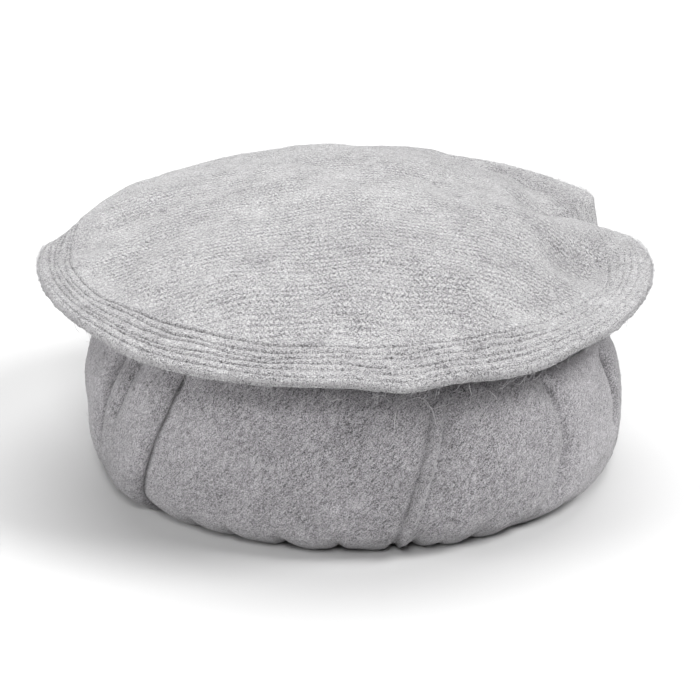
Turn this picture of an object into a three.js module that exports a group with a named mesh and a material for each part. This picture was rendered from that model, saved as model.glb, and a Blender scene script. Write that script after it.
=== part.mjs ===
// A pakol: a soft round cap of grey wool. A flat disc of cloth with a stitched flange lies over a
// long sleeve, whose lower part is rolled up outwards into a thick band.
// Sizes are in millimetres and angles in degrees. Angle 0 points along +X and 270 to the front, -Y.
import * as THREE from "three";

// The crown, a disc with its own centre, a little to the left of the band's axis
const CROWN_RADIUS = 123.6;
const CROWN_CENTRE_X = -4.2;
const CROWN_TOP = 116.5;
const CROWN_CLOTH = 1.8;
const FLANGE_WIDTH = 20.5;
const EDGE_BULGE = 0.5;
const SHOULDER = 1 - FLANGE_WIDTH / CROWN_RADIUS;
const MIDDLE = 0.5;
const MIDDLE_SLOPE = -29;
const DOME_FULLNESS = 1.25;
const FLANGE_CURL = 1.05;
const TOP_RINGS = [0.12, 0.26, 0.4, MIDDLE + 0.04, 0.67, 0.77];
const FLANGE_RINGS = [0, 0.35, 0.7];
const LOW_RINGS = [0.77, 0.6, 0.4, 0.2];
const SLOPE_STEP = 1e-3;
const SLOPE_TURN = 0.2;

// The sleeve's cloth, and its edge layer, pressed thin by the stitching under the flange
const SLEEVE_CLOTH = 2.4;
const UNDER_CLOTH = 1.4;
const LAYER_GAP = 0.35;
const UNDER_TOP = CROWN_CLOTH + LAYER_GAP;
const FLAT_BELOW = 0.8;

// The roll is widest at this height, and its plain shape ends at this top
const ROLL_WIDEST = 24;
const ROLL_TOP = 75;

// Heights between which the outer wall's folds run, and how station lines lean between them
const WALL_LOW = 5;
const WALL_HIGH = 66;
const WALL_MIDDLE = 35;
const LEAN_LOW = -0.5;
const LEAN_HIGH = 0.62;
const FOLD_FADE = 0.25;
const STEP_REACH = 7;
const STEP_SHARPNESS = 1.6;
const GATHER_WIDTH = 1.6;
const GATHER_TOP = 16;
const GATHER_FADE = 14;

// Stations, the lines up the cap that the mesh is built on
const STATIONS_BETWEEN_GATHERS = 2;
const FOLD_STATION_OFFSET = 0.9;
const CLOSEST_STATIONS = 1.5;
const VALLEY_STATIONS = [20.5, 24, 27.5, 31, 34];

const table = (columns, rows) =>
  rows.map((row) => Object.fromEntries(columns.map((name, i) => [name, row[i]])));

// Heights of the crown's top face round the cap: at the rim, where the flange meets the dome, and half way in
const CROWN_SECTIONS = table(
  ["angle", "rim", "shoulder", "middle"],
  [
    [0, 86.5, 93.5, 108.4],
    [9, 86.8, 95.5, 108.8],
    [16, 84, 93.2, 109.1],
    [20.5, 80.8, 90, 109.4],
    [24, 80.2, 89.3, 109.6],
    [27.5, 84.2, 91, 109.9],
    [31, 91.4, 94, 110.2],
    [38, 94, 98, 110.8],
    [52, 95, 99.8, 112],
    [70, 95, 102, 113.4],
    [92, 92.5, 102.6, 113.6],
    [115, 90, 102.6, 112.6],
    [138, 87.2, 102.2, 111.2],
    [155, 85, 99.4, 109.6],
    [168, 85.6, 94, 108],
    [180, 90.2, 92.5, 106.6],
    [192, 89.8, 91.5, 105.6],
    [205, 87.4, 91, 105],
    [218, 84, 89.5, 104.6],
    [235, 80, 88, 104.3],
    [255, 79.3, 86.8, 104.5],
    [270, 80, 86.8, 105],
    [283, 77.8, 86.3, 105.4],
    [289, 79, 86.4, 105.6],
    [297, 77.9, 86.5, 105.8],
    [315, 81, 88, 106.2],
    [333, 83.2, 89.2, 106.9],
    [347, 84.4, 91, 107.7],
  ],
);

// Hollows and swells of the dome: where, as an angle and a share of the radius, how high, and how far they reach
const DENTS = table(
  ["angle", "share", "rise", "along", "round"],
  [
    [20, 0.72, -2, 26, 22],
    [335, 0.68, 1.5, 26, 26],
    [205, 0.62, -1.2, 24, 22],
    [225, 0.7, 1, 20, 26],
  ],
);

// The middle of the sleeve's cloth in section, from the neck down, out and up to the tucked end
const NECK = table(
  ["inward", "drop", "follow"],
  [
    [4, 0.1, 0.8],
    [6.6, 0.5, 0.45],
  ],
);
const INNER_WALL = table(
  ["radius", "height"],
  [
    [94.2, 73.5],
    [92.6, 64],
    [92, 42],
    [91.8, 14],
  ],
);
const BOTTOM_TURN = table(
  ["radius", "height"],
  [
    [92, 4.6],
    [93, 1.2],
    [95.6, 1.2],
  ],
);
const OUTER_WALL = table(
  ["radius", "height", "folded"],
  [
    [100.3, 3.8, 1],
    [106.1, 8.8, 1],
    [108.8, 18, 1],
    [108.9, 30, 1],
    [108.2, 44, 1],
    [105.8, 56, 0.9],
    [101.8, 67.5, 0.4],
  ],
);
const TUCKED_END = table(
  ["radius", "height"],
  [
    [100.3, 73],
    [97.7, 72.6],
    [96.7, 62],
    [96.2, 30],
  ],
);

// Height of the roll's top round the cap: the roll sags at the right
const ROLL_TOPS = table(
  ["angle", "top"],
  [
    [0, 56],
    [45, 62],
    [90, 70],
    [180, 72],
    [225, 73],
    [270, 75],
    [300, 72],
    [330, 61],
  ],
);

// Folds of the outer wall: where at mid height, how deep, how far one side stands proud, how wide, and over
// what share of the wall. The left panel overlaps at the tuck, and the seam is a raised cord of cloth.
const FOLDS = table(
  ["name", "angle", "rise", "step", "width", "from", "to"],
  [
    ["far_crease", 204.1, -0.9, -0.2, 2.2, 0.3, 1.3],
    ["left_crease", 211.3, -0.9, -0.2, 2.2, 0.42, 1.3],
    ["tuck", 224.9, -1.2, -2.4, 2.2, -0.3, 1.3],
    ["seam", 282.9, 1.3, 0, 1.7, -0.3, 1.3],
    ["soft_crease", 317, -0.5, 1.2, 3.4, -0.2, 1.3],
    ["groove", 343.6, -1.2, 1.8, 1.8, 0.3, 1.3],
  ],
);

// How far the folds lean over the wall's height
const LEANS = table(
  ["angle", "lean"],
  [
    [0, 9],
    [90, 0],
    [180, 6],
    [204.1, 13],
    [211.3, 14],
    [224.9, 12.5],
    [282.9, 7.5],
    [317, 3],
    [343.6, 11],
  ],
);

// Gathers that notch the band's lower edge
const GATHERS = table(
  ["angle", "depth"],
  [
    [8, 0.8],
    [24, 0.9],
    [41, 0.8],
    [58, 0.9],
    [75, 0.8],
    [92, 0.9],
    [109, 0.8],
    [126, 0.9],
    [142, 0.8],
    [158, 0.9],
    [174, 0.8],
    [190, 0.9],
    [205, 0.8],
    [219.5, 1.4],
    [233.5, 1.1],
    [243, 1.1],
    [254.5, 1.1],
    [266.5, 1],
    [279.5, 1.5],
    [287.5, 1.5],
    [296.5, 1.1],
    [305, 0.8],
    [320.5, 1],
    [335, 0.8],
    [352, 0.8],
  ],
);

const CROWN_MATERIAL = new THREE.MeshStandardMaterial({
  color: 0xc3c2c4,
  roughness: 0.95,
  metalness: 0,
});
const SLEEVE_MATERIAL = new THREE.MeshStandardMaterial({
  color: 0x979598,
  roughness: 1,
  metalness: 0,
});

const { clamp, degToRad, euclideanModulo, smoothstep } = THREE.MathUtils;
const turnFrom = (angle, start) => euclideanModulo(angle - start + 180, 360) - 180;

// Value of a cubic between two ends, each with its own slope over the whole stretch
function between(start, startSlope, end, endSlope, share) {
  const square = share * share;
  const cube = square * share;
  return (
    start * (2 * cube - 3 * square + 1) +
    startSlope * (cube - 2 * square + share) +
    end * (3 * square - 2 * cube) +
    endSlope * (cube - square)
  );
}

// Smooth closed curve through one column of a table whose rows go round the cap
function aroundCap(rows, column, angle) {
  const turned = euclideanModulo(angle, 360);
  const before = rows.findLastIndex((row) => row.angle <= turned);
  const rowAt = (index) => rows[euclideanModulo(index, rows.length)];
  const angleAt = (index) => rowAt(index).angle + 360 * Math.floor(index / rows.length);
  const valueAt = (index) => rowAt(index)[column];
  const slopeAt = (index) =>
    (valueAt(index + 1) - valueAt(index - 1)) / (angleAt(index + 1) - angleAt(index - 1));
  const width = angleAt(before + 1) - angleAt(before);
  return between(
    valueAt(before),
    slopeAt(before) * width,
    valueAt(before + 1),
    slopeAt(before + 1) * width,
    (turned - angleAt(before)) / width,
  );
}

// Height of the crown's top face at a share of its radius
function crownHeight(share, angle) {
  const rim = aroundCap(CROWN_SECTIONS, "rim", angle);
  const shoulder = aroundCap(CROWN_SECTIONS, "shoulder", angle);
  const middle = aroundCap(CROWN_SECTIONS, "middle", angle);
  const domeWidth = SHOULDER - MIDDLE;
  const flangeWidth = 1 - SHOULDER;
  const flangeSlope = (rim - shoulder) / flangeWidth;
  const shoulderSlope = ((DOME_FULLNESS * (shoulder - middle)) / domeWidth + flangeSlope) / 2;
  let height;
  if (share < MIDDLE) {
    height = between(CROWN_TOP, 0, middle, MIDDLE_SLOPE * MIDDLE, share / MIDDLE);
  } else if (share < SHOULDER) {
    const along = (share - MIDDLE) / domeWidth;
    height = between(middle, MIDDLE_SLOPE * domeWidth, shoulder, shoulderSlope * domeWidth, along);
  } else {
    const along = (share - SHOULDER) / flangeWidth;
    const rimSlope = FLANGE_CURL * flangeSlope * flangeWidth;
    height = between(shoulder, shoulderSlope * flangeWidth, rim, rimSlope, along);
  }
  for (const dent of DENTS) {
    const along = ((share - dent.share) * CROWN_RADIUS) / dent.along;
    const arc = degToRad(turnFrom(angle, dent.angle)) * dent.share * CROWN_RADIUS;
    height += dent.rise * Math.exp(-(along ** 2) - (arc / dent.round) ** 2);
  }
  return height;
}

function crownPoint(share, angle) {
  const radius = share * CROWN_RADIUS;
  const turned = degToRad(angle);
  return new THREE.Vector3(
    CROWN_CENTRE_X + radius * Math.cos(turned),
    radius * Math.sin(turned),
    crownHeight(share, angle),
  );
}

const shareOnFlange = (part) => SHOULDER + part * (1 - SHOULDER);

// Direction straight up out of the crown's top face
function crownNormal(share, angle) {
  const outward = crownPoint(share + SLOPE_STEP, angle).sub(crownPoint(share - SLOPE_STEP, angle));
  const around = crownPoint(share, angle + SLOPE_TURN).sub(crownPoint(share, angle - SLOPE_TURN));
  return outward.cross(around).normalize();
}

// How far the station line that crosses mid height at this angle has turned at another height
function leanAt(angle, height) {
  const share = clamp((height - WALL_MIDDLE) / (WALL_HIGH - WALL_LOW), LEAN_LOW, LEAN_HIGH);
  return aroundCap(LEANS, "lean", angle) * share;
}

// How far the outer wall stands out from its plain shape
function wallRelief(angle, height) {
  const share = (height - WALL_LOW) / (WALL_HIGH - WALL_LOW);
  let relief = 0;
  for (const fold of FOLDS) {
    const across = turnFrom(angle, fold.angle) / fold.width;
    const fade =
      smoothstep(share, fold.from, fold.from + FOLD_FADE) *
      (1 - smoothstep(share, fold.to - FOLD_FADE, fold.to));
    const side = Math.tanh(STEP_SHARPNESS * across) * Math.exp(-Math.abs(across) / STEP_REACH);
    relief += fade * (fold.rise * Math.exp(-across * across) + (fold.step / 2) * side);
  }
  const gathered = 1 - smoothstep(height, GATHER_TOP - GATHER_FADE, GATHER_TOP);
  for (const gather of GATHERS) {
    const across = turnFrom(angle + leanAt(angle, height), gather.angle) / GATHER_WIDTH;
    relief -= gathered * gather.depth * Math.exp(-across * across);
  }
  return relief;
}

// Station angles: through each gather with some between, on each fold and its two flanks, and in the crown's valley
function stationAngles() {
  const throughGather = GATHERS.map(({ angle }) => angle - leanAt(angle, WALL_LOW));
  const important = [
    ...FOLDS.flatMap((fold) =>
      [-1, 0, 1].map((side) => fold.angle + side * FOLD_STATION_OFFSET * fold.width),
    ),
    ...VALLEY_STATIONS,
    ...throughGather,
  ];
  const between = throughGather.flatMap((start, i) => {
    const end = throughGather[(i + 1) % throughGather.length];
    const span = euclideanModulo(end - start, 360);
    const count = STATIONS_BETWEEN_GATHERS;
    return Array.from({ length: count }, (_, k) => start + (span * (k + 1)) / (count + 1));
  });
  const kept = [];
  for (const angle of [...important, ...between]) {
    if (kept.every((other) => Math.abs(turnFrom(angle, other)) > CLOSEST_STATIONS)) {
      kept.push(euclideanModulo(angle, 360));
    }
  }
  return kept.sort((a, b) => a - b);
}

// Closed geometry from vertices and triangles of their indices
function solidGeometry(points, triangles) {
  const geometry = new THREE.BufferGeometry();
  geometry.setFromPoints(points);
  geometry.setIndex(triangles.flat());
  geometry.computeVertexNormals();
  return geometry;
}

// Point straight in from the crown's top face, at a depth below it
const pointBelow = (share, angle, depth) =>
  crownPoint(share, angle).addScaledVector(crownNormal(share, angle), -depth);

// The crown: rings from the middle of the top face out over the rim and back in below
function crownGeometry(stations) {
  const flange = FLANGE_RINGS.map(shareOnFlange);
  const topRing = (share) => stations.map((angle) => crownPoint(share, angle));
  const lowRing = (share) => stations.map((angle) => pointBelow(share, angle, CROWN_CLOTH));
  const edgeRing = stations.map((angle) => {
    const outward = new THREE.Vector3(Math.cos(degToRad(angle)), Math.sin(degToRad(angle)), 0);
    return pointBelow(1, angle, CROWN_CLOTH / 2).addScaledVector(outward, EDGE_BULGE);
  });
  const rings = [
    ...[...TOP_RINGS, ...flange, 1].map(topRing),
    edgeRing,
    ...[1, ...flange.toReversed(), ...LOW_RINGS].map(lowRing),
  ];
  const count = stations.length;
  const topCentre = crownPoint(0, 0);
  const points = [topCentre, ...rings.flat(), topCentre.clone().setZ(topCentre.z - CROWN_CLOTH)];
  const triangles = [];
  const lastRing = 1 + (rings.length - 1) * count;
  for (let i = 0; i < count; i++) {
    const next = (i + 1) % count;
    triangles.push([0, 1 + i, 1 + next]);
    for (let ring = 0; ring < rings.length - 1; ring++) {
      const start = 1 + ring * count;
      triangles.push([start + i, start + count + i, start + count + next]);
      triangles.push([start + i, start + count + next, start + next]);
    }
    triangles.push([points.length - 1, lastRing + next, lastRing + i]);
  }
  return solidGeometry(points, triangles);
}

// Height of a point of the roll's plain shape once the roll's top is at its own height here
function heightInRoll(height, angle) {
  const share = (aroundCap(ROLL_TOPS, "top", angle) - ROLL_WIDEST) / (ROLL_TOP - ROLL_WIDEST);
  return Math.min(height, ROLL_WIDEST + (height - ROLL_WIDEST) * share);
}

// The middle of the sleeve's cloth at one station, below the flange: radius and height, how far it follows
// the crown's own centre, how far it takes the outer wall's folds, and the height that its lean goes by
function sleeveSection(angle) {
  const start = pointBelow(SHOULDER, angle, UNDER_TOP + UNDER_CLOTH / 2);
  const startRadius = Math.hypot(start.x - CROWN_CENTRE_X, start.y);
  const fall = start.z - INNER_WALL[0].height;
  const neck = NECK.map(({ inward, drop, follow }) => ({
    radius: startRadius - inward,
    height: start.z - drop * fall,
    follow,
  }));
  const plain = { follow: 0, folded: 0 };
  const inside = [...neck, ...INNER_WALL, ...BOTTOM_TURN].map((row) => ({
    ...plain,
    ...row,
    leanHeight: Math.min(row.height, WALL_MIDDLE),
  }));
  const roll = [...OUTER_WALL, ...TUCKED_END].map((row) => {
    const height = heightInRoll(row.height, angle);
    return { ...plain, ...row, height, leanHeight: height };
  });
  return [...inside, ...roll];
}

// One closed loop round the sleeve's cloth at a station: in along one face and back along the other
function sleeveLoop(angle) {
  const half = SLEEVE_CLOTH / 2;
  const under = [1, ...FLANGE_RINGS.toReversed()].map((part) => {
    const share = shareOnFlange(part);
    return [UNDER_TOP + UNDER_CLOTH, UNDER_TOP].map((depth) => pointBelow(share, angle, depth));
  });
  const section = sleeveSection(angle);
  const rolled = section.map((row, i) => {
    const before = section[Math.max(i - 1, 0)];
    const after = section[Math.min(i + 1, section.length - 1)];
    const along = new THREE.Vector2(after.radius - before.radius, after.height - before.height);
    const across = new THREE.Vector2(-along.y, along.x).normalize();
    const relief = row.folded * wallRelief(angle, row.height);
    const turned = degToRad(angle + leanAt(angle, row.leanHeight));
    return [half, -half].map((offset) => {
      const radius = row.radius + relief + offset * across.x;
      const height = row.height + offset * across.y;
      return new THREE.Vector3(
        row.follow * CROWN_CENTRE_X + radius * Math.cos(turned),
        radius * Math.sin(turned),
        height < FLAT_BELOW ? 0 : height,
      );
    });
  });
  const faces = [...under, ...rolled];
  return [...faces.map(([left]) => left), ...faces.map(([, right]) => right).reverse()];
}

function sleeveGeometry(stations) {
  const loops = stations.map(sleeveLoop);
  const size = loops[0].length;
  const triangles = [];
  for (let i = 0; i < loops.length; i++) {
    const here = i * size;
    const next = ((i + 1) % loops.length) * size;
    for (let j = 0; j < size; j++) {
      const after = (j + 1) % size;
      triangles.push([here + j, here + after, next + j]);
      triangles.push([here + after, next + after, next + j]);
    }
  }
  return solidGeometry(loops.flat(), triangles);
}

function namedMesh(name, geometry, material) {
  const mesh = new THREE.Mesh(geometry, material);
  mesh.name = name;
  return mesh;
}

const stations = stationAngles();
const cap = new THREE.Group();
cap.add(namedMesh("crown", crownGeometry(stations), CROWN_MATERIAL));
cap.add(namedMesh("rolled_sleeve", sleeveGeometry(stations), SLEEVE_MATERIAL));

// The cap stands on the origin, with the middle of its whole outline over it
const middle = new THREE.Box3().setFromObject(cap).getCenter(new THREE.Vector3());
cap.position.set(-middle.x, -middle.y, 0);

export default cap;
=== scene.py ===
import math

import bpy
import numpy as np
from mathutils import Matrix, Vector


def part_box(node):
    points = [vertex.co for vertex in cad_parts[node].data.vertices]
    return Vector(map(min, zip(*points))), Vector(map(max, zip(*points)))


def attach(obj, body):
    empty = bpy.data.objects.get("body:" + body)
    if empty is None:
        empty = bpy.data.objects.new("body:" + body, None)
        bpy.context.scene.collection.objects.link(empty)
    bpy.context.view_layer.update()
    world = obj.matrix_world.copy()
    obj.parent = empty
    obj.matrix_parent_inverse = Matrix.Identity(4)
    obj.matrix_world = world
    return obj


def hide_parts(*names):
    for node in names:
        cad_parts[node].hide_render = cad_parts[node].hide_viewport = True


# Looks of the wool cap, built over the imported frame. Shapes are worked out in millimetres and degrees, angle
# 0 along +X and 270 to the front, and go into Blender in metres.

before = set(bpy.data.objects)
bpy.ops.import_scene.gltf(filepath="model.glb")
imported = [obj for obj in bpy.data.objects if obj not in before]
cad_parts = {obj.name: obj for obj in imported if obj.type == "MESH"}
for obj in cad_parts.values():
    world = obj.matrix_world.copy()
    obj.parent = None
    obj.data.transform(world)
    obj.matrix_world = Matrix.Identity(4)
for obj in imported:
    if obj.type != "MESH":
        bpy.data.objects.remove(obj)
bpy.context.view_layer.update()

MM = 0.001
TURN = 360.0
FRONT = 270
RANDOM_SEED = 11

# The crown, centred on its node in the frame
CROWN_CENTRE = np.mean(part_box("crown"), axis=0)[:2] / MM
CROWN_RADIUS = 124.2
CROWN_TOP = 116.5
CROWN_CLOTH = 1.8
NECK_SHARE = 0.834
MIDDLE = 0.5
MIDDLE_SLOPE = -29
DOME_FULLNESS = 1.25
FLANGE_CURL = 1.05
SHARE_STEP = 0.001
ANGLE_STEP = 0.2

# The flange's folded step runs aslant: by how many degrees, at which angle, and how far round it
FOLD_SKEW = 6
FOLD_ANGLE = 26
FOLD_REACH = 10

# The sleeve's band is centred a little to the right of the crown
BAND_SHIFT = 3.6
BAND_CENTRE = CROWN_CENTRE + (BAND_SHIFT, 0)
SLEEVE_CLOTH = 2.4
UNDER_CLOTH = 1.4
UNDER_TOP = 2.15
UNDER_MIDDLE = UNDER_TOP + UNDER_CLOTH / 2
ROLL_WIDEST = 24
ROLL_TOP = 75
WALL_LOW = 5
WALL_HIGH = 66
WALL_MIDDLE = 35
LEAN_LOW = -0.5
LEAN_HIGH = 0.62
FOLD_FADE = 0.25
STEP_REACH = 7
STEP_SHARPNESS = 1.6
CREASE_STEP_REACH = 3
GATHER_WIDTH = 1.6
GATHER_FADE = (2, 16)
GATHER_SHARE = 0.8
NOTCH_DEPTH = 1.7
NOTCH_WIDTH = 0.6
NOTCH_FADE = (2, 13)


def table(columns, rows):
    """Rows of numbers as arrays by column name."""
    return {name: np.array(values, float) for name, values in zip(columns.split(), zip(*rows))}


def rows_of(rows):
    """The rows of a table, one at a time."""
    for i in range(len(rows["angle"])):
        yield {name: column[i] for name, column in rows.items()}


# Heights of the crown's top face round the cap: at the rim, where the flange meets the dome, and half way in,
# and how wide the flange is
CROWN_SECTIONS = table("angle rim shoulder middle width", [
    [0, 86, 88.4, 107.6, 18.5], [9, 85.4, 90.9, 108, 19], [14, 83.8, 90.8, 108.2, 19.5],
    [17.5, 82.5, 90.4, 108.4, 20], [20.2, 81.6, 87.6, 108.6, 20.5], [22.2, 81, 89, 108.7, 20.5],
    [24.5, 80.4, 93.4, 108.8, 20.5], [27.7, 80.2, 95.7, 109, 20.5], [28.6, 86.8, 96, 109.1, 20.5],
    [29.6, 92, 96, 109.3, 20.5], [32.5, 93.6, 96, 109.6, 20.5], [38, 93.8, 96.7, 110.4, 20.5],
    [46, 94.5, 97.9, 111.8, 20.5], [56, 95.1, 99.6, 113.2, 20.5], [70, 95, 101.9, 114, 20.5],
    [92, 92.5, 102.6, 113.6, 20.5], [115, 89.5, 102.2, 111.6, 20.5], [138, 86.5, 100, 110.6, 20.5],
    [153, 80.5, 96.4, 109.6, 14.5], [163, 79.5, 93.8, 108.5, 11.5], [170.5, 84.6, 91.6, 107.6, 12],
    [178, 87.9, 89, 106.6, 12.8], [192, 88, 87.8, 105.6, 13.6], [205, 86.8, 87, 105, 17],
    [218, 84.5, 87, 104.6, 19.5], [233, 80, 86.6, 104.3, 20.5], [255, 79.5, 86, 104.5, 20.5],
    [270, 79.9, 86.5, 105, 20.5], [276.5, 78, 86.2, 105.2, 20.5], [281, 76.9, 86, 105.3, 20.5],
    [288.5, 78.9, 85.8, 105.6, 20.5], [297, 77.7, 86, 105.8, 20.5], [304, 77.4, 86.2, 106, 20.5],
    [309.5, 78.7, 85.8, 106.1, 20.5], [313, 80.7, 85.2, 106.2, 20.5], [322, 81.5, 84.2, 106.5, 20.5],
    [335, 84.3, 83.5, 107, 20], [344, 85.6, 84.2, 107.3, 19.5], [352, 86, 86.6, 107.6, 18.8],
])

# Hollows and swells of the dome: where, as an angle and a share of the radius, how high, and how far they
# reach outwards and round the cap in millimetres
DENTS = table("angle share rise along round", [
    [357, 0.56, 1.2, 9, 14], [1, 0.67, 2, 9, 9], [12, 0.665, -2.6, 9, 9],
    [15, 0.58, -3, 12, 13], [21, 0.7, -4.4, 11, 11], [27, 0.765, -3.4, 8, 10],
    [38, 0.775, -2.4, 7.5, 12], [50, 0.785, -1.4, 7.5, 13], [29, 0.845, -1.6, 5, 8],
    [40, 0.85, -2.2, 5, 9], [52, 0.855, -1.4, 5, 10], [346, 0.74, -5.8, 11, 13],
    [354, 0.81, -4.8, 8, 9], [205, 0.62, -1.2, 24, 22], [225, 0.7, 1, 20, 26],
])

# The middle of the sleeve's cloth in section, from the neck down, out and up to the tucked end, and how far
# each place takes part in the folds. The neck starts under the flange, centred on the crown at first.
NECK = table("inward drop follow", [[4, 0.1, 0.8], [6.6, 0.5, 0.45]])
INNER_WALL = table("radius height folded", [
    [94.2, 73.5, 0], [92.6, 64, 0], [92, 42, 0], [91.8, 14, 0],
    [92, 4.6, 0], [93, 1.2, 0.3], [95.6, 1.2, 1],
])
OUTER_WALL = table("radius height folded", [
    [100.3, 3.8, 1], [106.1, 8.8, 1], [108.8, 18, 1], [108.9, 30, 1],
    [108.2, 44, 1], [106.2, 56, 1], [103, 67.5, 0.8],
])
TUCKED_END = table("radius height folded", [[100.3, 73, 0], [97.7, 72.6, 0], [96.7, 62, 0], [96.2, 30, 0]])
ROLL_TOPS = table("angle top", [
    [0, 55], [45, 61], [90, 70], [180, 72], [225, 71.5], [270, 69], [300, 66.5], [330, 61],
])

# Broad folds of the outer wall: where at mid height, how deep, how far one side stands proud, how wide in
# degrees, and over what share of the wall. They are the far crease, the left crease, the tuck, the soft
# crease, the groove and the two low swells that make the band wider at its left and right.
FOLDS = table("angle rise step width from to", [
    [203.7, -2.7, -0.6, 2.4, 0.1, 1.4],
    [211.3, -1.6, -0.6, 2.2, 0.4, 1.4],
    [223.4, 0.7, -2.6, 2.6, -0.3, 1.3],
    [318.8, -2.2, 1.6, 2.6, -0.2, 1.3],
    [343.8, -3, 2.6, 2.2, 0.22, 1.5],
    [222, 1.2, 0, 16, -0.6, 0.75],
    [322, 1.2, 0, 16, -0.6, 0.75],
])

# Sharp lines on the outer face alone: where, how deep, how far one side stands proud and laps over the other,
# how wide in degrees, how square, and over what share of the wall. The seam is a welt between two lines.
CREASES = table("angle depth step lap width square from to", [
    [203.7, 1.9, -0.6, 0.2, 1.1, 1.4, 0.1, 1.4],
    [211, 1.1, -0.5, 0.2, 1.1, 1.4, 0.4, 1.4],
    [225, 2.4, -3, 1.8, 0.95, 1.6, -0.4, 1.3],
    [282.5, 1.5, 0, 0, 0.75, 1.6, -0.4, 1.3],
    [284, -1.7, 0, 0, 1.2, 3, -0.4, 1.3],
    [285.4, 0.8, 0, 0, 0.5, 1.6, -0.4, 1.3],
    [318, 1.1, 0.6, 0, 1.1, 1.4, 0.1, 1.3],
    [344.3, 3.6, -1, 0.9, 0.95, 1.6, 0.22, 1.5],
])

# Degrees by which a line of the outer wall turns over the wall's height, and by which it bends back
LEANS = table("angle lean bend", [
    [0, 2, 0], [90, 0, 0], [180, 6, 0], [204.1, 13, 0], [211.3, 14, 0],
    [224.9, 12.5, 0], [283.9, 8.8, 0], [318.5, 3, 30], [344.8, 0, 0],
])

# Gathers that notch the band's lower edge
GATHERS = table("angle depth", [
    [8, 0.8], [24, 0.9], [41, 0.8], [58, 0.9], [75, 0.8], [92, 0.9], [109, 0.8], [126, 0.9], [142, 0.8],
    [158, 0.9], [174, 0.8], [190, 0.9], [205, 0.8], [219.5, 1.4], [233.5, 1.1], [243, 1.1], [254.5, 1.1],
    [266.5, 1], [279.2, 1.5], [282.9, 1.3], [289, 0.6], [296.5, 1], [305, 0.8], [320.5, 1], [335, 0.8],
    [352, 0.8],
])


def turn_from(angle, start):
    """Turn from one angle to another the short way round, in degrees."""
    return np.mod(angle - start + 180, TURN) - 180


def smoothstep(value, low, high):
    """Smooth rise from 0 at the low value to 1 at the high one."""
    share = np.clip((value - low) / (high - low), 0, 1)
    return share * share * (3 - 2 * share)


def between(start, start_slope, end, end_slope, share):
    """Value of a cubic between two ends, each with its own slope over the whole stretch."""
    square = share * share
    cube = square * share
    return (
        start * (2 * cube - 3 * square + 1)
        + start_slope * (cube - 2 * square + share)
        + end * (3 * square - 2 * cube)
        + end_slope * (cube - square)
    )


def around_cap(rows, column, angle):
    """Smooth closed curve through one column of a table whose rows go round the cap."""
    angles, values = rows["angle"], rows[column]
    count = len(angles)
    turned = np.mod(angle, TURN)
    before = np.searchsorted(angles, turned, side="right") - 1

    def angle_at(index):
        return angles[index % count] + TURN * np.floor_divide(index, count)

    def slope_at(index):
        rise = values[(index + 1) % count] - values[(index - 1) % count]
        return rise / (angle_at(index + 1) - angle_at(index - 1))

    width = angle_at(before + 1) - angle_at(before)
    return between(
        values[before % count],
        slope_at(before) * width,
        values[(before + 1) % count],
        slope_at(before + 1) * width,
        (turned - angle_at(before)) / width,
    )


def along_section(knots, values, at):
    """Smooth open curve through the last axis of values, given at rising knots."""
    gaps = np.diff(knots)
    rises = np.diff(values, axis=-1) / gaps
    inner = (rises[..., :-1] * gaps[1:] + rises[..., 1:] * gaps[:-1]) / (gaps[1:] + gaps[:-1])
    slopes = np.concatenate([rises[..., :1], inner, rises[..., -1:]], axis=-1)
    before = np.clip(np.searchsorted(knots, at, side="right") - 1, 0, len(knots) - 2)
    gap = gaps[before]
    return between(
        values[..., before],
        slopes[..., before] * gap,
        values[..., before + 1],
        slopes[..., before + 1] * gap,
        (at - knots[before]) / gap,
    )


# A random field is the sum of this many waves, each shorter or longer than its wavelength by a share
WAVE_COUNT = 14
WAVE_SHARES = (0.6, 1.5)


def waves(seed, wavelength, *coordinates):
    """Smooth random field of about unit size over some coordinates, the same on each run."""
    random = np.random.default_rng(seed)
    field = 0.0
    for _ in range(WAVE_COUNT):
        direction = random.normal(size=len(coordinates))
        direction *= random.uniform(*WAVE_SHARES) / np.linalg.norm(direction)
        phase = random.uniform(0, 2 * np.pi)
        reach = sum(d * c for d, c in zip(direction, coordinates))
        field = field + np.sin(2 * np.pi * reach / wavelength + phase)
    return field * math.sqrt(2 / WAVE_COUNT)


def unevenness(fields, *coordinates):
    """Sum of random fields, each with its own number, wavelength and size."""
    return sum(
        size * waves(RANDOM_SEED + number, wavelength, *coordinates)
        for number, wavelength, size in fields
    )


def unit(vectors):
    """The same directions, each vector along the last axis made one long."""
    return vectors / np.linalg.norm(vectors, axis=-1, keepdims=True)


def from_axis(centre, points):
    """Distance of points from an upright axis."""
    return np.hypot(*(points[:, :2] - centre).T)


def around(angle, radius):
    """X and Y at an angle and a distance from an upright axis."""
    return radius * np.cos(np.radians(angle)), radius * np.sin(np.radians(angle))


def place(centre, radius, angle, height):
    """Points at cylinder coordinates about an upright axis."""
    x, y = around(angle, radius)
    return np.stack(np.broadcast_arrays(centre[0] + x, centre[1] + y, height), axis=-1)


def shoulder_share(angle):
    """Share of the radius at which the flange meets the dome."""
    return 1 - around_cap(CROWN_SECTIONS, "width", angle) / CROWN_RADIUS


def spot(row, share, angle):
    """Smooth bump, 1 at the row's place on the crown and fading along and round it."""
    along = (share - row["share"]) * CROWN_RADIUS / row["along"]
    arc = np.radians(turn_from(angle, row["angle"])) * row["share"] * CROWN_RADIUS / row["round"]
    return np.exp(-along * along - arc * arc)


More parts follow.
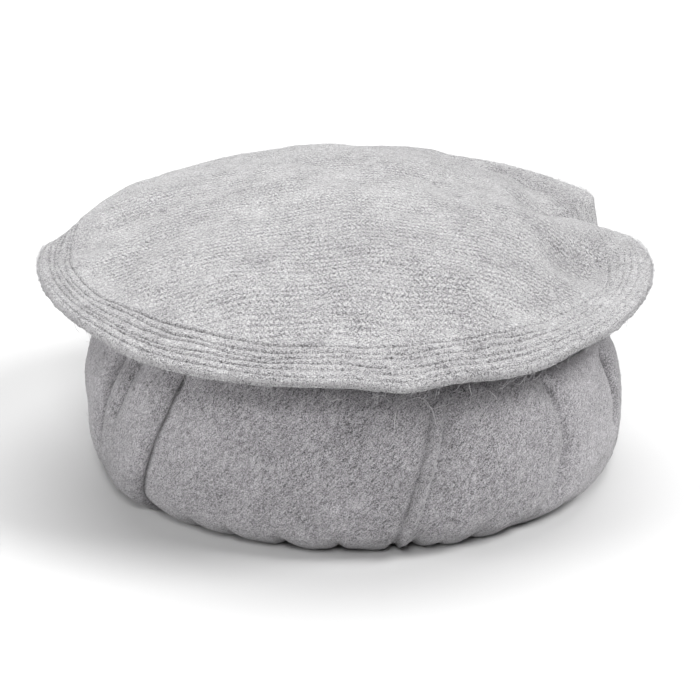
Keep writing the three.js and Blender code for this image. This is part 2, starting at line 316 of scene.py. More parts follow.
def crown_height(share, angle):
    """Height of the crown's top face at a share of its radius."""
    foot = shoulder_share(angle)
    dome_width = foot - MIDDLE
    flange_width = 1 - foot
    dome_share = (share - MIDDLE) / dome_width
    flange_share = (share - foot) / flange_width
    across = np.clip(flange_share, 0, 1)
    skew = FOLD_SKEW * np.exp(-np.square(turn_from(angle, FOLD_ANGLE) / FOLD_REACH))
    rim = around_cap(CROWN_SECTIONS, "rim", angle + skew * (1 - across))
    shoulder = around_cap(CROWN_SECTIONS, "shoulder", angle - skew * across)
    middle = around_cap(CROWN_SECTIONS, "middle", angle)
    flange_slope = (rim - shoulder) / flange_width
    shoulder_slope = (DOME_FULLNESS * (shoulder - middle) / dome_width + flange_slope) / 2
    inner = between(CROWN_TOP, 0, middle, MIDDLE_SLOPE * MIDDLE, share / MIDDLE)
    dome = between(middle, MIDDLE_SLOPE * dome_width, shoulder, shoulder_slope * dome_width, dome_share)
    rim_slope = FLANGE_CURL * flange_slope * flange_width
    flange = between(shoulder, shoulder_slope * flange_width, rim, rim_slope, flange_share)
    height = np.where(share < MIDDLE, inner, np.where(share < foot, dome, flange))
    for dent in rows_of(DENTS):
        height = height + dent["rise"] * spot(dent, share, angle)
    return height


def crown_point(share, angle):
    """Point of the crown's plain top face."""
    return place(CROWN_CENTRE, share * CROWN_RADIUS, angle, crown_height(share, angle))


def crown_normal(share, angle):
    """Direction straight up out of the crown's top face."""
    outward = crown_point(share + SHARE_STEP, angle) - crown_point(share - SHARE_STEP, angle)
    onward = crown_point(share, angle + ANGLE_STEP) - crown_point(share, angle - ANGLE_STEP)
    return unit(np.cross(outward, onward))


def point_below(share, angle, depth):
    """Point straight in from the crown's plain top face, at a depth below it."""
    return crown_point(share, angle) - crown_normal(share, angle) * np.asarray(depth)[..., None]


# Stitching of the flange: rows counted from the edge inwards, each wandering a little
ROW_COUNT = 6
ROW_STEP = 3.25
ROW_WANDER = 0.42
ROW_OFFSET = 0.37
STITCHED_WIDTH = 20.5
STITCH_LENGTH = 2.5
GROOVE_DEPTH = 0.4
GROOVE_WIDTH = 0.55
HOLE_DEPTH = 0.8
HOLE_LENGTH = 0.55
PUFF = 0.25
PUFF_WINDING = 40
PUFF_SQUEEZE = 1.3
PUFF_FADE = (-1, 3)
ROW_WAVELENGTH = 95

# The number, wavelength and size of the fields that make the cloth uneven between the stitches and over the
# dome, and how far in from the edge the dome's begin
PUFF_FIELDS = [(15, 5, 0.048)]
DOME_FIELDS = [(20, 46, 0.35), (21, 17, 0.16)]
DOME_FADE = 0.12

# How plain the rows of stitches show round the cap: faint at the right and on the folded step
ROW_STRENGTHS = table("angle strength", [
    [0, 0.45], [12, 0.4], [20, 0.2], [34, 0.2], [60, 0.5], [120, 0.7], [180, 0.65], [205, 0.95], [232, 1.05],
    [254, 1], [270, 0.75], [285, 0.7], [299, 0.85], [314, 0.75], [335, 0.5],
])


def narrowing(angle):
    """The flange's width as a share of its full one."""
    return around_cap(CROWN_SECTIONS, "width", angle) / STITCHED_WIDTH


def row_inset(row, angle):
    """How far a row of stitches lies in from the crown's edge."""
    wander = ROW_WANDER * waves(RANDOM_SEED + row, ROW_WAVELENGTH, *around(angle, CROWN_RADIUS))
    return (row + 1) * ROW_STEP * narrowing(angle) + wander


def stitches_in(row):
    """How many stitches a row has all round."""
    return round(2 * math.pi * (CROWN_RADIUS - (row + 1) * ROW_STEP) / STITCH_LENGTH)


def from_hole(row, angle):
    """Distance along a row to the nearest hole, where the thread goes into the cloth."""
    phase = np.mod(angle, TURN) / TURN * stitches_in(row) + ROW_OFFSET * row
    return (np.mod(phase + 0.5, 1) - 0.5) * STITCH_LENGTH


def near_rows(share, angle):
    """How near a place on the flange is to the rows' grooves and to their holes, each from 0 to 1."""
    inset = (1 - share) * CROWN_RADIUS
    groove, hole = np.zeros_like(inset), np.zeros_like(inset)
    for row in range(ROW_COUNT):
        across = np.exp(-np.square((inset - row_inset(row, angle)) / GROOVE_WIDTH))
        groove = np.maximum(groove, across)
        hole = np.maximum(hole, across * np.exp(-np.square(from_hole(row, angle) / HOLE_LENGTH)))
    strength = around_cap(ROW_STRENGTHS, "strength", angle)
    return groove * strength, hole * strength


def flange_relief(share, angle):
    """How far the stitched flange stands out from its plain shape: grooves, holes and puffs between them."""
    groove, hole = near_rows(share, angle)
    inset = (1 - share) * CROWN_RADIUS
    rows_end = ROW_STEP * ROW_COUNT * narrowing(angle)
    stitched = 1 - smoothstep(inset - rows_end, *PUFF_FADE)
    winding = around(angle * CROWN_RADIUS / PUFF_WINDING, PUFF_WINDING)
    puff = PUFF + unevenness(PUFF_FIELDS, *winding, inset * PUFF_SQUEEZE)
    return stitched * puff - GROOVE_DEPTH * groove - HOLE_DEPTH * hole


def dome_relief(share, angle):
    """Soft unevenness of the cloth over the dome."""
    return smoothstep(1 - share, 0, DOME_FADE) * unevenness(DOME_FIELDS, *around(angle, share * CROWN_RADIUS))


def lean_at(angle, height):
    """How far the line that crosses mid height at this angle has turned at another height."""
    share = np.clip((height - WALL_MIDDLE) / (WALL_HIGH - WALL_LOW), LEAN_LOW, LEAN_HIGH)
    return (around_cap(LEANS, "lean", angle) - around_cap(LEANS, "bend", angle) * share) * share


def line_on_wall(row, reach, angle, height):
    """Widths to the right of a fold or crease, how far its step stands out, and how much of it is there."""
    across = turn_from(angle, row["angle"]) / row["width"]
    side = np.tanh(STEP_SHARPNESS * across) * np.exp(-np.abs(across) / reach)
    share = (height - WALL_LOW) / (WALL_HIGH - WALL_LOW)
    end = smoothstep(share, row["to"] - FOLD_FADE, row["to"])
    over = smoothstep(share, row["from"], row["from"] + FOLD_FADE) * (1 - end)
    return across, row["step"] / 2 * side, over


def wall_folds(angle, height):
    """How far the outer wall's broad folds stand out from its plain shape."""
    relief = np.zeros(np.broadcast(angle, height).shape)
    for fold in rows_of(FOLDS):
        across, step, over = line_on_wall(fold, STEP_REACH, angle, height)
        relief += over * (fold["rise"] * np.exp(-across * across) + step)
    return relief


def wall_creases(angle, height):
    """How far the outer face's sharp lines stand out from it, and how far they lap over to the right."""
    relief = np.zeros(np.broadcast(angle, height).shape)
    lap = relief.copy()
    for crease in rows_of(CREASES):
        across, step, over = line_on_wall(crease, CREASE_STEP_REACH, angle, height)
        relief += over * (step - crease["depth"] * np.exp(-np.abs(across) ** crease["square"]))
        lap -= over * crease["lap"] * across * np.exp(0.5 - across * across / 2)
    leaned = angle + lean_at(angle, height)
    gathered = 1 - smoothstep(height, *GATHER_FADE)
    notched = 1 - smoothstep(height, *NOTCH_FADE)
    for gather in rows_of(GATHERS):
        turned = turn_from(leaned, gather["angle"])
        relief -= gathered * GATHER_SHARE * gather["depth"] * np.exp(-np.square(turned / GATHER_WIDTH))
        relief -= notched * NOTCH_DEPTH * gather["depth"] * np.exp(-np.abs(turned) / NOTCH_WIDTH)
    return relief, lap


def height_in_roll(height, angle):
    """Height of a point of the roll's plain shape once the roll's top is at its own height here."""
    share = (around_cap(ROLL_TOPS, "top", angle) - ROLL_WIDEST) / (ROLL_TOP - ROLL_WIDEST)
    return np.minimum(height, ROLL_WIDEST + (height - ROLL_WIDEST) * share)


def sleeve_columns(angle):
    """The middle of the sleeve's cloth at the stations, below the flange, as arrays of stations by rows."""
    ones = np.ones_like(angle)[:, None]
    start = point_below(NECK_SHARE, angle, UNDER_MIDDLE)
    fall = start[:, 2:] - INNER_WALL["height"][0]
    neck_radius = from_axis(CROWN_CENTRE, start)[:, None] - NECK["inward"]
    neck_height = start[:, 2:] - NECK["drop"] * fall
    roll = {name: np.concatenate([OUTER_WALL[name], TUCKED_END[name]]) for name in OUTER_WALL}
    roll_height = height_in_roll(roll["height"], angle[:, None])
    inner_height = np.concatenate([neck_height, ones * INNER_WALL["height"]], axis=1)
    radius = np.concatenate([neck_radius, ones * INNER_WALL["radius"], ones * roll["radius"]], axis=1)
    height = np.concatenate([inner_height, roll_height], axis=1)
    lean_height = np.concatenate([np.minimum(inner_height, WALL_MIDDLE), roll_height], axis=1)
    folded = np.concatenate([np.zeros_like(NECK["follow"]), INNER_WALL["folded"], roll["folded"]])
    follow = np.zeros_like(folded)
    follow[: len(NECK["follow"])] = NECK["follow"]
    return radius, height, ones * follow, ones * folded, lean_height


SLEEVE_STATIONS = 700
CREASE_CROWDING = 3.0
CREASE_REACH = 2.5
UNDER_SHARES = 1 - np.array([1.7, 6, 11, 16, 20]) / CROWN_RADIUS
SECTION_SAMPLES = 88
KNOT_GAP = 2
THICKENING_ROWS = 4
FINE_STATIONS = 7200

# The number, wavelength and size of the fields that make the band's cloth uneven, over a plain cylinder
WALL_FIELDS = [(30, 38, 0.3), (31, 13, 0.12)]
WALL_RADIUS = 108


def sleeve_middle(angle):
    """The middle of the sleeve's cloth, its outer face's relief and lap, and its thickness in each row."""
    columns = sleeve_columns(angle)
    reference = np.argmin(np.abs(turn_from(angle, FRONT)))
    steps = np.hypot(np.diff(columns[0][reference]), np.diff(columns[1][reference]))
    knots = np.concatenate([[0], np.cumsum(np.maximum(steps, KNOT_GAP))])
    at = np.linspace(0, knots[-1], SECTION_SAMPLES)
    radius, height, follow, folded, lean_height = (along_section(knots, column, at) for column in columns)
    station = angle[:, None]
    radius = radius + folded * wall_folds(station, height)
    centre = (BAND_CENTRE[0] - BAND_SHIFT * follow, BAND_CENTRE[1])
    rolled = place(centre, radius, station + lean_at(station, lean_height), height)
    shares, angles = np.meshgrid(UNDER_SHARES, angle)
    under = point_below(shares, angles, UNDER_MIDDLE)
    points = np.concatenate([under, rolled], axis=1)

    cloth = unevenness(WALL_FIELDS, *around(station, WALL_RADIUS), height)
    relief, lap = wall_creases(station, height)
    relief = folded * (relief + cloth)
    plain = np.zeros(under.shape[:2])
    relief, lap = (np.concatenate([plain, values], axis=1) for values in (relief, folded * lap))
    past_flange = np.arange(points.shape[1]) - len(UNDER_SHARES) + 1
    widen = np.clip(past_flange, 0, THICKENING_ROWS) / THICKENING_ROWS
    return points, relief, lap, UNDER_CLOTH + (SLEEVE_CLOTH - UNDER_CLOTH) * widen


def grid_directions(points):
    """Directions onward in and out of a grid of points that closes in its first direction."""
    onward = unit(np.roll(points, -1, axis=0) - np.roll(points, 1, axis=0))
    return onward, unit(np.cross(onward, np.gradient(points, axis=1)))


def grid_faces(numbers):
    """Four-sided faces of grids of point numbers, closed in the last direction and open in the one before."""
    onward = np.roll(numbers, -1, axis=-1)
    corners = [numbers[..., :-1, :], onward[..., :-1, :], onward[..., 1:, :], numbers[..., 1:, :]]
    return np.stack(corners, axis=-1).reshape(-1, 4)


def mark_points(piece, name, values):
    """Keep one number at each point of a piece's mesh, for its shader to read."""
    marks = piece.data.attributes.new(name, "FLOAT", "POINT")
    marks.data.foreach_set("value", np.asarray(values, np.float32))


def new_object(name, points, faces, material):
    """Mesh object of points in millimetres and faces, each a row of point numbers."""
    mesh = bpy.data.meshes.new(name)
    mesh.from_pydata((points * MM).tolist(), [], [list(face) for face in faces])
    mesh.polygons.foreach_set("use_smooth", np.ones(len(faces), bool))
    mesh.materials.append(material)
    mesh.update()
    piece = bpy.data.objects.new(name, mesh)
    bpy.context.scene.collection.objects.link(piece)
    return piece


# Materials

GREEN_LESS = 0.03
BLUE_MORE = 0.014


def grey(value, violet=1.0):
    """Linear grey, a little violet as the photographed wool is."""
    return (value, value * (1 - GREEN_LESS * violet), value * (1 + BLUE_MORE * violet))


class Nodes:
    """The shader nodes of one material, with short calls that make and link them."""

    def __init__(self, name):
        self.material = bpy.data.materials.new(name)
        self.material.use_nodes = True
        self.tree = self.material.node_tree
        self.shader = self.tree.nodes["Principled BSDF"]

    def add(self, kind, inputs=(), output=0, **settings):
        """A new node with its inputs and settings, given by one of its outputs."""
        node = self.tree.nodes.new(kind)
        for name, value in settings.items():
            setattr(node, name, value)
        for name, value in dict(inputs).items():
            self.put(node.inputs[name], value)
        return node.outputs[output]

    def put(self, socket, value):
        """Link a socket to another one, or set it to a plain value."""
        if isinstance(value, bpy.types.NodeSocket):
            self.tree.links.new(value, socket)
        else:
            socket.default_value = value

    def surface(self, inputs):
        """Set inputs of the material's own shader."""
        for name, value in inputs.items():
            self.put(self.shader.inputs[name], value)

    def math(self, operation, *values):
        """One sum or function of one to three values."""
        return self.add("ShaderNodeMath", dict(enumerate(values)), operation=operation)

    def noise(self, vector, scale, detail=2.0, roughness=0.5):
        """Noise from 0 to 1."""
        inputs = {"Vector": vector, "Scale": scale, "Detail": detail, "Roughness": roughness}
        return self.add("ShaderNodeTexNoise", inputs)

    def uneven(self, vector, *noise):
        """Noise about zero."""
        return self.math("SUBTRACT", self.noise(vector, *noise), 0.5)

    def mark(self, name):
        """The number kept at each point of the mesh under a name."""
        return self.add("ShaderNodeAttribute", output="Fac", attribute_name=name)

    def layered(self, base, layers, weights):
        """A base value and some layers by name, each times its own weight."""
        for name, weight in weights.items():
            base = self.math("MULTIPLY_ADD", layers[name], weight, base)
        return base

    def stretched(self, vector, lengths, turn_y=0.0):
        """Coordinates along axes turned about Y, each divided by its own length."""
        inputs = {"Vector": vector, "Scale": lengths, "Rotation": (0, math.radians(turn_y), 0)}
        return self.add("ShaderNodeMapping", inputs, vector_type="TEXTURE")

    def ramp(self, factor, stops):
        """Greys by position, each with its own value and, where it differs, its share of violet."""
        output = self.add("ShaderNodeValToRGB", {"Fac": factor})
        elements = output.node.color_ramp.elements
        for element, (position, *shade) in zip(elements, (stops[0], stops[-1])):
            element.position = position
            element.color = (*grey(*shade), 1)
        for position, *shade in stops[1:-1]:
            elements.new(position).color = (*grey(*shade), 1)
        return output

    def range(self, value, low, high, start, end):
        """A value that runs from low to high, made to run from start to end."""
        inputs = {"Value": value, "From Min": low, "From Max": high, "To Min": start, "To Max": end}
        return self.add("ShaderNodeMapRange", inputs)


def millimetres(nodes):
    """Place on the object in millimetres."""
    coordinates = nodes.add("ShaderNodeTexCoord", output=3)
    return nodes.add("ShaderNodeVectorMath", {0: coordinates, 3: 1 / MM}, operation="SCALE")


# What the shaders are set to, apart from colour and bump
CLOTH_SHADER = {"Roughness": 0.95, "Specular IOR Level": 0.1, "Sheen Weight": 0.35, "Sheen Roughness": 0.5}
FIBRE_SHADER = {"Roughness": 0.9, "Specular IOR Level": 0.15}

# Names of the numbers kept at the points of the cloth
# Painted shade in the grooves and holes of the flange's stitching
STITCH_SHADE_MARK = "stitched"
# Painted shade in patches of the crown
PAINTED_SHADE_MARK = "dull"
# Painted light on two panels of the band
PAINTED_LIGHT_MARK = "painted_light"

# Looks of the two cloths: noise by scale, detail and roughness, the long strands' stretch and turn, what each
# layer adds to the shade and to the bump, the bump's height in millimetres, and the greys from dark to light
# by position, value and, where it isn't 1, share of violet
MIDDLE_SHADE = 0.5
CROWN_LOOKS = {
    "noise": {"fine": (2.1, 2.0, 0.7), "cloudy": (0.05, 3.0, 0.6), "mottled": (0.2, 2.0, 0.6)},
    "strands": (0.7, 3.0, 0.75),
    "stretch": (1.0, 0.45, 0.6),
    "turn": 0,
    "shade": {
        "weave": 0.31, "mottled": 0.16, "fine": 2.7, "strands": 1.2, "cloudy": 0.45,
        # Painted shade darkens the stitches' grooves and holes and patches of the crown
        STITCH_SHADE_MARK: -0.36, PAINTED_SHADE_MARK: -0.2,
    },
    "bump": {"weave": 0.6, "fine": 1.4},
    "bump_height": 0.42,
    "greys": [(0.0, 0.045), (0.25, 0.19), (0.5, 0.35, 0.5), (0.75, 0.48, 0.1), (1.0, 0.65, 0.0)],
}
SLEEVE_LOOKS = {
    "noise": {"fine": (2.1, 2.0, 0.7), "cloudy": (0.06, 3.0, 0.6), "mottled": (0.24, 2.0, 0.6)},
    "strands": (0.8, 3.0, 0.7),
    "stretch": (2.2, 1.1, 0.6),
    "turn": -47,
    # Painted light lightens two panels of the band
    "shade": {"fine": 2.6, "strands": 1.4, "cloudy": 0.4, "mottled": 0.15, PAINTED_LIGHT_MARK: 0.1},
    "bump": {"strands": 0.7, "fine": 1.0},
    "bump_height": 0.6,
    # The band's greys are darker than the crown's, partly the band's own tone and partly painted shade for its
    # less lit sides
    "greys": [(0.0, 0.06), (0.3, 0.205), (0.5, 0.31), (0.75, 0.41), (1.0, 0.57)],
}


def wool_cloth(nodes, place_mm, looks, own_layers):
    """Matt wool cloth of layers of noise, long strands and some layers of its own."""
    layers = {name: nodes.uneven(place_mm, *noise) for name, noise in looks["noise"].items()}
    stretched = nodes.stretched(place_mm, looks["stretch"], looks["turn"])
    layers["strands"] = nodes.uneven(stretched, *looks["strands"])
    layers.update(own_layers)
    colour = nodes.ramp(nodes.layered(MIDDLE_SHADE, layers, looks["shade"]), looks["greys"])
    height = nodes.layered(0.0, layers, looks["bump"])
    distance = looks["bump_height"] * MM
    bump = nodes.add("ShaderNodeBump", {"Height": height, "Distance": distance, "Strength": 1.0})
    nodes.surface({"Base Color": colour, "Normal": bump, **CLOTH_SHADER})
    return nodes.material


# The crown's weave: ribs along X, and yarn marks along each rib, as steps in millimetres seen from above, how
# far they stray in steps, and how strong both are
RIB_STEP = 2.6
YARN_STEP = 1.78
STROKE_SLANT = 1.15
RIB_DRIFT = 3.2
RIB_SHIFT = 0.6
YARN_SLIP = 1.1
RIB_SIZE = 0.34
STROKE_SIZE = 0.46

# Noise that makes ribs and yarn marks stray, wears them and hides the painted shade at the stitches in places.
# The shift is drawn out along X.
WEAVE_NOISE = {
    "drift": (0.02, 2.0), "shift": (0.3, 2.0), "slip": (0.34, 2.0),
    "worn": (0.09, 3.0, 0.6), "seen": (0.16, 2.0),
}
SHIFT_STRETCH = (2, 1, 1)

# Ranges, each what a value runs from and to and what it becomes: the yarn marks' profile, how plain the weave
#  is by wear and by millimetres from the middle, and how plain the painted shade at the stitches is
STROKE_PROFILE = (-0.9, 0.3, -1.0, 0.45)
WORN = (0.36, 0.64, 0.35, 1.15)
PRESSED = (98.0, 106.0, 1.0, 0.25)
STITCHES_SEEN = (0.35, 0.62, 0.25, 1.0)


def crown_weave(nodes, place_mm):
    """Ribs along X, each a row of slanted yarn marks, worn in places and pressed flat on the flange."""
    split = nodes.add("ShaderNodeSeparateXYZ", {0: place_mm}).node
    strays = {name: nodes.uneven(place_mm, *WEAVE_NOISE[name]) for name in ("drift", "slip")}
    strays["shift"] = nodes.uneven(nodes.stretched(place_mm, SHIFT_STRETCH), *WEAVE_NOISE["shift"])
    row = nodes.math("DIVIDE", split.outputs["Y"], RIB_STEP)
    row = nodes.layered(row, strays, {"drift": RIB_DRIFT, "shift": RIB_SHIFT})
    column = nodes.math("DIVIDE", split.outputs["X"], YARN_STEP)
    column = nodes.layered(column, strays, {"slip": YARN_SLIP})

    def wave(phase):
        return nodes.math("COSINE", nodes.math("MULTIPLY", phase, 2 * math.pi))

    slant = nodes.math("PINGPONG", row, 1.0)
    strokes = wave(nodes.math("MULTIPLY_ADD", slant, STROKE_SLANT, column))
    strokes = nodes.range(strokes, *STROKE_PROFILE)
    ribs = nodes.math("MULTIPLY", wave(row), RIB_SIZE)
    weave = nodes.math("MULTIPLY_ADD", strokes, STROKE_SIZE, ribs)
    flat = nodes.add("ShaderNodeVectorMath", {0: place_mm, 1: (1, 1, 0)}, operation="MULTIPLY")
    reach = nodes.add("ShaderNodeVectorMath", {0: flat}, output=1, operation="LENGTH")
    worn = nodes.range(nodes.noise(place_mm, *WEAVE_NOISE["worn"]), *WORN)
    pressed = nodes.range(reach, *PRESSED)
    return nodes.math("MULTIPLY", nodes.math("MULTIPLY", weave, worn), pressed)


def crown_wool():
    """Light heather wool in ribs, with painted shade in the stitches' grooves and holes and in patches of the
    crown.
    """
    nodes = Nodes("crown_wool")
    place_mm = millimetres(nodes)
    seen = nodes.range(nodes.noise(place_mm, *WEAVE_NOISE["seen"]), *STITCHES_SEEN)
    own_layers = {
        "weave": crown_weave(nodes, place_mm),
        STITCH_SHADE_MARK: nodes.math("MULTIPLY", nodes.mark(STITCH_SHADE_MARK), seen),
        PAINTED_SHADE_MARK: nodes.mark(PAINTED_SHADE_MARK),
    }
    return wool_cloth(nodes, place_mm, CROWN_LOOKS, own_layers)


def sleeve_wool():
    """Heather wool, darker than the crown's partly as painted shade, felted, its nap raised by brushing, with
    a fine mottled grain and painted light on two panels.
    """
    nodes = Nodes("sleeve_wool")
    return wool_cloth(nodes, millimetres(nodes), SLEEVE_LOOKS, {PAINTED_LIGHT_MARK: nodes.mark(PAINTED_LIGHT_MARK)})


# Thread and loose fibres: noise, and the dark and pale stops of the grey with the pale one's share of violet
FIBRE_NOISE = (0.9, 2.0, 0.6)
DARK_STOP = 0.3
PALE_STOP = 0.7
PALE_VIOLET = 0.3


def plain_wool(name, low, high):
    """Thread and loose fibres: one grey that changes along them."""
    nodes = Nodes(name)
    stops = [(DARK_STOP, low), (PALE_STOP, high, PALE_VIOLET)]
    colour = nodes.ramp(nodes.noise(millimetres(nodes), *FIBRE_NOISE), stops)
    nodes.surface({"Base Color": colour, **FIBRE_SHADER})
    return nodes.material


CROWN_WOOL = crown_wool()
SLEEVE_WOOL = sleeve_wool()
# The stitch thread's dark grey is partly the thread's own colour and partly painted shade for the shaded holes
# along the rows
DARKENED_STITCH_THREAD = plain_wool("darkened_stitch_thread", 0.08, 0.3)
PALE_FIBRE = plain_wool("pale_fibre", 0.42, 0.72)
LIGHT_FIBRE = plain_wool("light_fibre", 0.36, 0.66)
GREY_FIBRE = plain_wool("grey_fibre", 0.2, 0.56)


# The crown's cloth

FLANGE_SHARE = 0.83
RIM_STATIONS = 1200
DOME_STATIONS = 600
DOME_RINGS = 26
FLANGE_RINGS = 50
EDGE_STEPS = 8
UNDERSIDE_RINGS = 9
CENTRE_SHARE = 0.012
UNDERSIDE_GAP = 0.02
EDGE_GAP = 0.1
LIP_RISE = 0.15
EDGE_DEPTH = UNDER_TOP + UNDER_CLOTH - EDGE_GAP
EDGE_ARC = 135
EDGE_WRAP = 1.7
EDGE_ROUND = 2.7
EDGE_TURN = 0.86
EDGE_UNDERCUT = 0.35
EDGE_FUZZ = 0.16
# Share of the painted shade at the stitches that goes to the grooves; the rest goes to the holes
GROOVE_SHADE_SHARE = 0.16

# The number and wavelength of the fields that fray the edge, and how much shorter they are downwards
FUZZ_FIELDS = [(40, 2.6, 1.5), (41, 7, 1)]


def crown_surface(share, angle):
    """The crown's top face with its stitching and unevenness."""
    return point_below(share, angle, -flange_relief(share, angle) - dome_relief(share, angle))


def ring_grid(values, stations):
    """Each of some values at each of some stations round the cap."""
    return np.meshgrid(values, np.arange(stations) * TURN / stations)


def crown_edge(round_in):
    """The flange's edge: rounded over, a little uneven, and tucked back over the layer below."""
    turn = np.radians(np.linspace(0, EDGE_ARC, EDGE_STEPS + 1)[1:])
    over = np.minimum(turn, math.pi / 2)
    under = np.maximum(turn - math.pi / 2, 0)
    outwards = np.sin(over) - EDGE_UNDERCUT * np.sin(2 * under)
    downwards = EDGE_TURN * (1 - np.cos(over)) + (1 - EDGE_TURN) * np.sin(2 * under)
    shares, angles = ring_grid(1 - round_in + round_in * outwards, RIM_STATIONS)
    depths, _ = ring_grid(EDGE_DEPTH * downwards, RIM_STATIONS)
    edge = point_below(shares, angles, depths)
    fuzz = sum(
        waves(RANDOM_SEED + number, wavelength, *around(angles, CROWN_RADIUS), depths * squeeze)
        for number, wavelength, squeeze in FUZZ_FIELDS
    )
    return edge + EDGE_FUZZ * fuzz[..., None] * place((0, 0), 1, angles, 0)


def ring_faces(start, count, stations):
    """Faces between rings of points stored one after another, from a first point."""
    return grid_faces(start + np.arange(count * stations).reshape(count, stations)).tolist()


# Patches of painted shade on the crown: by the back flange, on the right, on the left flange and in the
#  middle
PAINTED_SHADE_PLACES = table("angle share dull along round", [
    [26, 0.85, 0.75, 6, 8], [36, 0.865, 0.85, 6, 10], [49, 0.885, 0.6, 6, 12],
    [348, 0.7, 0.25, 9, 12], [356, 0.8, 0.2, 9, 12], [181, 0.93, 0.4, 11, 24],
    [206, 0.93, 0.4, 11, 24], [262, 0.45, 0.18, 30, 60],
])


def painted_shade_at(points):
    """How much painted shade lies at points in millimetres, 0 to 1."""
    x, y = (points[:, :2] - CROWN_CENTRE).T
    share = np.hypot(x, y) / CROWN_RADIUS
    angle = np.degrees(np.arctan2(y, x))
    return np.minimum(sum(row["dull"] * spot(row, share, angle) for row in rows_of(PAINTED_SHADE_PLACES)), 1)


def make_crown():
    """The crown's cloth: dome, stitched flange, cut edge and underside, with more stations at the flange."""
    round_in = EDGE_ROUND / CROWN_RADIUS
    wrap = 1 - EDGE_WRAP / CROWN_RADIUS
    dome_shares = np.linspace(CENTRE_SHARE, FLANGE_SHARE, DOME_RINGS, endpoint=False)
    dome = crown_surface(*ring_grid(dome_shares, DOME_STATIONS))
    flange_grid = ring_grid(np.linspace(FLANGE_SHARE, 1 - round_in, FLANGE_RINGS), RIM_STATIONS)
    flange = crown_surface(*flange_grid)
    lip_depths, lip_angles = ring_grid([EDGE_DEPTH - LIP_RISE, CROWN_CLOTH], RIM_STATIONS)
    lip = point_below(wrap, lip_angles, lip_depths)
    below_shares = np.linspace(wrap - UNDERSIDE_GAP, CENTRE_SHARE, UNDERSIDE_RINGS)
    below = point_below(*ring_grid(below_shares, DOME_STATIONS), CROWN_CLOTH)
    rim = np.concatenate([flange, crown_edge(round_in), lip], axis=1)
    groups = [group.transpose(1, 0, 2).reshape(-1, 3) for group in (dome, rim, below)]
    points = np.concatenate(groups)

    rim_start = len(groups[0])
    below_start = rim_start + len(groups[1])
    faces = ring_faces(0, DOME_RINGS, DOME_STATIONS)
    faces += ring_faces(rim_start, rim.shape[1], RIM_STATIONS)
    faces += ring_faces(below_start, UNDERSIDE_RINGS, DOME_STATIONS)
    coarse = np.arange(DOME_STATIONS)
    following = (coarse + 1) % DOME_STATIONS
    ratio = RIM_STATIONS // DOME_STATIONS
    for coarse_start, fine_start, turned in (
        (rim_start - DOME_STATIONS, rim_start, 1),
        (below_start, below_start - RIM_STATIONS, -1),
    ):
        fine = [fine_start + (coarse * ratio + step) % RIM_STATIONS for step in range(ratio, -1, -1)]
        corners = np.stack([coarse_start + coarse, coarse_start + following, *fine], axis=-1)
        faces += corners[:, ::turned].tolist()
    faces.append(list(range(DOME_STATIONS))[::-1])
    faces.append(list(range(len(points) - DOME_STATIONS, len(points))))
    faces = [face[::-1] for face in faces]
    crown = new_object("crown_cloth", points, faces, CROWN_WOOL)
    # Painted shade in the stitches' grooves and holes, kept at the flange's points
    groove, hole = near_rows(*flange_grid)
    marks = np.zeros(len(points))
    marks[rim_start : rim_start + groove.size] = (GROOVE_SHADE_SHARE * groove + (1 - GROOVE_SHADE_SHARE) * hole).T.ravel()
    mark_points(crown, STITCH_SHADE_MARK, marks)
    # Patches of painted shade, kept at the crown's points
    mark_points(crown, PAINTED_SHADE_MARK, painted_shade_at(points))
    return crown


def sleeve_angles():
    """Stations round the sleeve, crowded at its creases."""
    fine = np.linspace(0, TURN, FINE_STATIONS, endpoint=False)
    weight = np.ones_like(fine)
    for crease in rows_of(CREASES):
        weight += CREASE_CROWDING * np.exp(-np.square(turn_from(fine, crease["angle"]) / CREASE_REACH))
    reached = np.concatenate([[0], np.cumsum(weight)])
    wanted = np.arange(SLEEVE_STATIONS) * reached[-1] / SLEEVE_STATIONS
    return np.interp(wanted, reached, np.append(fine, TURN))


# Panels of the band painted lighter, as painted light: right of the soft crease and left of the far crease
PAINTED_LIGHT_PANELS = table("angle end", [[319, 344.3], [170, 203]])
PANEL_FADE = 1.6

# A path that rises by more than this share of its length counts as steep
STEEP = 0.9


def make_sleeve():
    """The sleeve's cloth, from the layer under the flange down the neck and round the roll."""
    angle = sleeve_angles()
    middle, relief, lap, thickness = sleeve_middle(angle)
    onward, normal = grid_directions(middle)
    half = normal * thickness[None, :, None] / 2
    outer = middle + half + normal * relief[..., None] + onward * lap[..., None]
    inner = (middle - half)[:, ::-2]
    loop = np.concatenate([outer, inner], axis=1)
    loop[..., 2] = np.maximum(loop[..., 2], 0)
    rows = loop.shape[1]
    numbers = np.arange(SLEEVE_STATIONS * rows).reshape(SLEEVE_STATIONS, rows).T
    faces = grid_faces(np.concatenate([numbers, numbers[:1]]))
    sleeve = new_object("sleeve_cloth", loop.reshape(-1, 3), faces, SLEEVE_WOOL)
    # Painted light on the two panels, kept at the sleeve's points
    painted_light = np.zeros(SLEEVE_STATIONS)
    for panel in rows_of(PAINTED_LIGHT_PANELS):
        past = smoothstep(turn_from(angle, panel["angle"]), -PANEL_FADE, PANEL_FADE)
        painted_light += past * (1 - smoothstep(turn_from(angle, panel["end"]), -PANEL_FADE, PANEL_FADE))
    mark_points(sleeve, PAINTED_LIGHT_MARK, np.repeat(painted_light, rows))
    return sleeve


